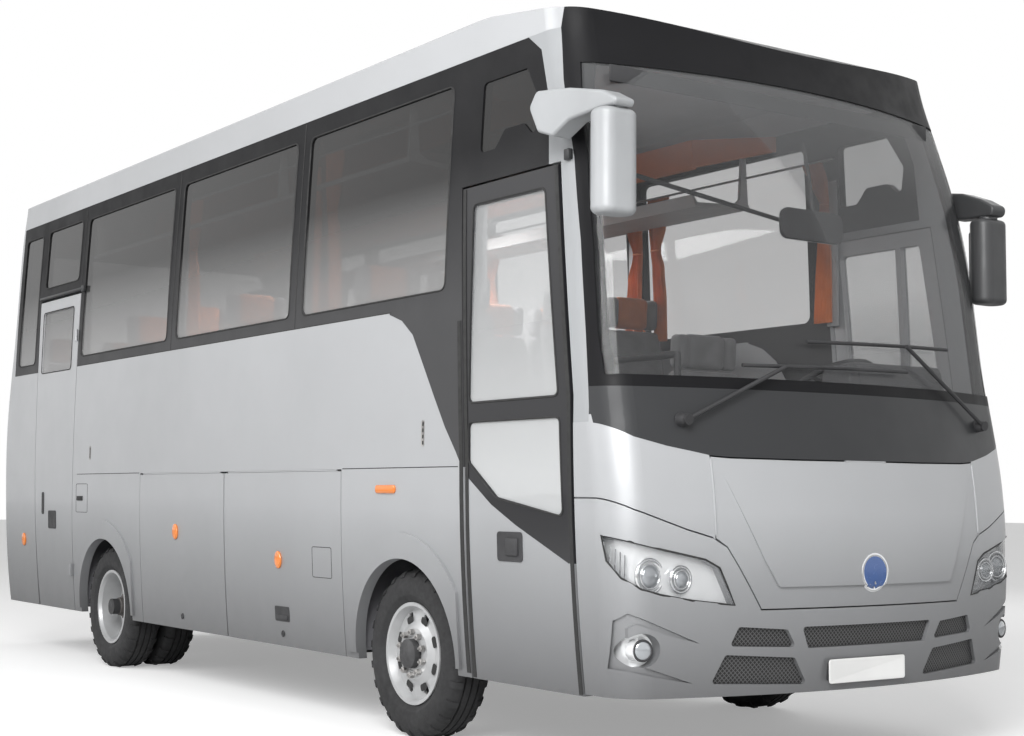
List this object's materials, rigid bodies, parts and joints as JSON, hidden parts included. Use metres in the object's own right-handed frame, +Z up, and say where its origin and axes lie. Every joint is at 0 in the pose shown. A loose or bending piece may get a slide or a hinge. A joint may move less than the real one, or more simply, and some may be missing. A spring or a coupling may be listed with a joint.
{
  "type": "coach bus",
  "caption": "Midi coach bus with hollow saloon, glazed sides, curved windshield, plug entrance door, hinged rear and cab doors, luggage lockers, steered front axle and twin rear wheels.",
  "frame": {"origin": "on the road under the middle of the vehicle's bounding box", "axes": "+Z up, the front of the bus towards -Y, +X towards the vehicle's left side"},
  "size_m": [2.666, 7.5714, 3.4414],
  "materials": {
    "silver": "metallic silver-grey coachwork paint",
    "dark_grey": "satin dark grey paint",
    "black": "gloss black trim",
    "black_matte": "matte black plastic",
    "tinted_glass": "grey tinted glazing",
    "clear_glass": "clear laminated glass",
    "lamp": "clear lamp cover",
    "lamp_body": "bright reflector",
    "red_lamp": "red lamp lens",
    "mesh": "black mesh",
    "tyre": "road tyre, greyed sidewalls",
    "rim": "silver painted steel wheel",
    "steel": "black chassis paint",
    "cast": "bare castings",
    "floor": "floor covering",
    "dash": "moulded grey plastic",
    "seat": "grey seat cloth",
    "orange": "orange seat cloth",
    "rail": "dark painted tube",
    "rack": "light grey plastic",
    "white": "light silver paint",
    "exhaust": "stained steel"
  },
  "bodies": {
    "root": {"body_windows": "tinted_glass", "chassis_frame": "steel", "corner_panels": "silver", "cowl_panel": "dark_grey", "dashboard": "dash", "engine_gearbox": "cast", "exhaust": "exhaust", "floor_deck": "floor", "front_axle": "steel", "front_bumper": "silver", "front_pillars": "silver", "fuel_tank": "steel", "grille_mesh": "mesh", "guard_rails": "rail", "headlamp_covers": "lamp", "headlamps": "lamp_body", "luggage_bays": "steel", "luggage_racks": "rack", "mirrors": "white", "rear_axle": "steel", "rear_bumper": "silver", "rear_wall": "silver", "roof_panel": "silver", "roof_unit": "white", "seat_headrests": "orange", "seats": "seat", "side_panels_left": "silver", "side_panels_right": "silver", "steering_wheel": "black_matte", "tail_lamps": "red_lamp", "window_band_left": "dark_grey", "window_band_right": "dark_grey", "windshield": "clear_glass", "windshield_surround": "black", "wipers": "black_matte"},
    "front_door_arm": {"front_door_arm": "rail"},
    "front_door": {"front_door": "black", "front_door_glass": "clear_glass"},
    "rear_door": {"rear_door": "silver", "rear_door_glass": "tinted_glass"},
    "driver_door": {"driver_door": "silver", "driver_door_glass": "tinted_glass"},
    "front_flap": {"front_flap": "silver"},
    "boot_lid": {"boot_lid": "silver"},
    "roof_hatch": {"roof_hatch": "rack"},
    "locker_front_right": {"locker_front_right": "silver"},
    "locker_rear_right": {"locker_rear_right": "silver"},
    "locker_front_left": {"locker_front_left": "silver"},
    "locker_rear_left": {"locker_rear_left": "silver"},
    "knuckle_left": {"knuckle_left": "cast"},
    "knuckle_right": {"knuckle_right": "cast"},
    "front_wheel_left": {"front_tyre_left": "tyre", "front_rim_left": "rim"},
    "front_wheel_right": {"front_tyre_right": "tyre", "front_rim_right": "rim"},
    "rear_wheels_left": {"rear_tyres_left": "tyre", "rear_rims_left": "rim"},
    "rear_wheels_right": {"rear_tyres_right": "tyre", "rear_rims_right": "rim"}
  },
  "joints": [
    {"name": "front_door_swing", "type": "hinge", "parent": "root", "child": "front_door_arm", "pos_m": [-1.078, -3.197, 1], "axis": [0, 0, 1], "range_deg": [0, 110]},
    {"name": "front_door_leaf", "type": "hinge", "parent": "front_door_arm", "child": "front_door", "pos_m": [-1.078, -2.775, 1], "axis": [0, 0, 1], "range_deg": [-110, 0]},
    {"name": "rear_door_hinge", "type": "hinge", "parent": "root", "child": "rear_door", "pos_m": [-1.186, 2.289, 1.3], "axis": [0, 0, 1], "range_deg": [0, 90]},
    {"name": "driver_door_hinge", "type": "hinge", "parent": "root", "child": "driver_door", "pos_m": [1.19, -3.248, 1.2], "axis": [0, 0, -1], "range_deg": [0, 75]},
    {"name": "front_flap_hinge", "type": "hinge", "parent": "root", "child": "front_flap", "pos_m": [0, -3.727, 1.261], "axis": [-1, 0, 0], "range_deg": [0, 65]},
    {"name": "boot_lid_hinge", "type": "hinge", "parent": "root", "child": "boot_lid", "pos_m": [0, 3.787, 1.6957], "axis": [1, 0, 0], "range_deg": [0, 85]},
    {"name": "roof_hatch_hinge", "type": "hinge", "parent": "root", "child": "roof_hatch", "pos_m": [0, -0.715, 3.304], "axis": [1, 0, 0], "range_deg": [0, 50]},
    {"name": "steer_left", "type": "hinge", "parent": "root", "child": "knuckle_left", "pos_m": [0.85, -1.96, 0.3835], "axis": [0, 0, 1], "range_deg": [-35, 35]},
    {"name": "steer_right", "type": "hinge", "parent": "root", "child": "knuckle_right", "pos_m": [-0.85, -1.96, 0.3835], "axis": [0, 0, 1], "range_deg": [-35, 35]},
    {"name": "front_wheel_left_spin", "type": "hinge", "parent": "knuckle_left", "child": "front_wheel_left", "pos_m": [1.02, -1.96, 0.3835], "axis": [1, 0, 0], "continuous": true},
    {"name": "front_wheel_right_spin", "type": "hinge", "parent": "knuckle_right", "child": "front_wheel_right", "pos_m": [-1.02, -1.96, 0.3835], "axis": [1, 0, 0], "continuous": true},
    {"name": "rear_wheels_left_spin", "type": "hinge", "parent": "root", "child": "rear_wheels_left", "pos_m": [1.02, 1.73, 0.3835], "axis": [1, 0, 0], "continuous": true},
    {"name": "rear_wheels_right_spin", "type": "hinge", "parent": "root", "child": "rear_wheels_right", "pos_m": [-1.02, 1.73, 0.3835], "axis": [1, 0, 0], "continuous": true},
    {"name": "locker_front_right_hinge", "type": "hinge", "parent": "root", "child": "locker_front_right", "pos_m": [-1.182, -0.74, 1.2307], "axis": [0, 1, 0], "range_deg": [0, 80]},
    {"name": "locker_rear_right_hinge", "type": "hinge", "parent": "root", "child": "locker_rear_right", "pos_m": [-1.182, 0.525, 1.2307], "axis": [0, 1, 0], "range_deg": [0, 80]},
    {"name": "locker_front_left_hinge", "type": "hinge", "parent": "root", "child": "locker_front_left", "pos_m": [1.182, -0.74, 1.2307], "axis": [0, -1, 0], "range_deg": [0, 80]},
    {"name": "locker_rear_left_hinge", "type": "hinge", "parent": "root", "child": "locker_rear_left", "pos_m": [1.182, 0.525, 1.2307], "axis": [0, -1, 0], "range_deg": [0, 80]}
  ],
  "couplings": [
    {"joint": "front_door_leaf", "follows": "front_door_swing", "ratio": -1},
    {"joint": "steer_right", "follows": "steer_left", "ratio": 1}
  ]
}
